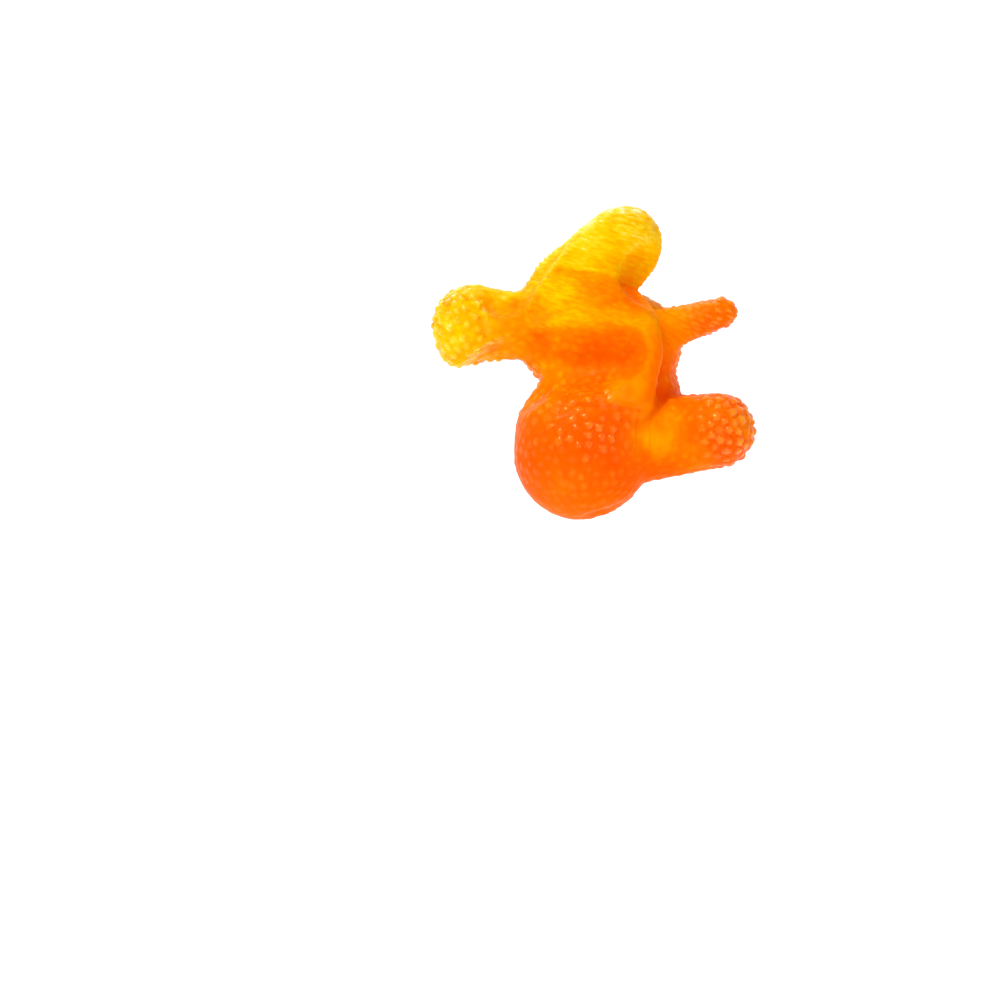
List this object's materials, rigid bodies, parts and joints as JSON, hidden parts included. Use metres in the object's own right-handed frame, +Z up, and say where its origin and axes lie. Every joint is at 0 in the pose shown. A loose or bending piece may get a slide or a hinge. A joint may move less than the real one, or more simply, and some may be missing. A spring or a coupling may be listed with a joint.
{
  "type": "gel hand exercise ball",
  "caption": "Soft gel-filled ball with a nubbed elastic skin, held squeezed so that it bulges out between four fingers and a thumb.",
  "frame": {"origin": "middle of the patch that the palm presses flat on the back of the squeezed ball", "axes": "+Z up, away from the wrist; +Y backwards into the palm; the fingers and thumb close round the front, which faces -Y"},
  "size_m": [0.0993, 0.0482, 0.0968],
  "materials": {
    "nubbed_skin": "translucent orange thermoplastic elastomer, glossy, covered with small nubs",
    "gel": "soft clear orange gel",
    "plug": "moulded elastomer, smooth",
    "adhesive": "clear set adhesive"
  },
  "bodies": {
    "lower_half": {"lower_skin": "nubbed_skin", "seam_band": "nubbed_skin", "gel_fill": "gel", "fill_plug": "plug", "seal_bead": "adhesive"},
    "upper_half": {"upper_skin": "nubbed_skin"}
  },
  "joints": [
    {"name": "squeeze", "type": "slide", "parent": "lower_half", "child": "upper_half", "axis": [0, 0, 1], "range_m": [-0.004, 0.006], "stiffness_N_per_m": 3000, "deforming": ["gel_fill", "seam_band"]}
  ]
}
